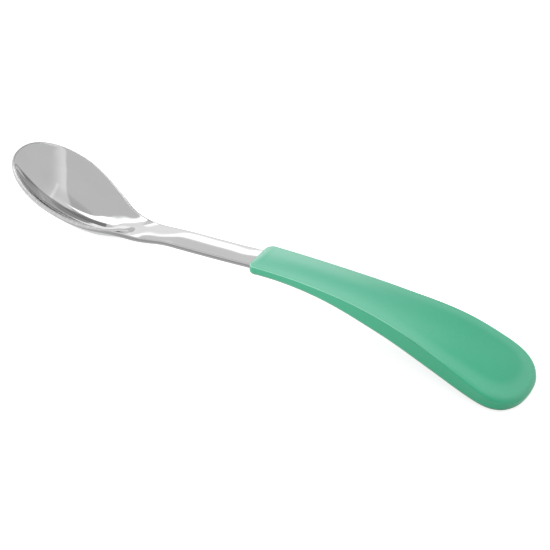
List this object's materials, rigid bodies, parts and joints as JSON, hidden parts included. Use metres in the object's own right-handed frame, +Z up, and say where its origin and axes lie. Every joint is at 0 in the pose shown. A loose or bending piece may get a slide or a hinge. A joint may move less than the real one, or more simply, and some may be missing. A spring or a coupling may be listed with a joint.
{
  "type": "baby spoon",
  "caption": "Baby spoon with a polished steel bowl and stem, and a soft arched grip that widens into a rounded paddle at its tail.",
  "frame": {"origin": "middle of the bounding box's bottom face, on the table that the spoon lies on", "axes": "+X from the bowl's tip to the grip's tail, +Y across the spoon, +Z up from the table through the open side of the bowl"},
  "size_m": [0.148, 0.024, 0.015],
  "materials": {
    "polished_steel": "mirror-polished stainless steel with fine polishing marks",
    "soft_silicone": "soft matte mint green"
  },
  "bodies": {
    "root": {"steel_blank": "polished_steel", "silicone_grip": "soft_silicone"}
  },
  "joints": []
}
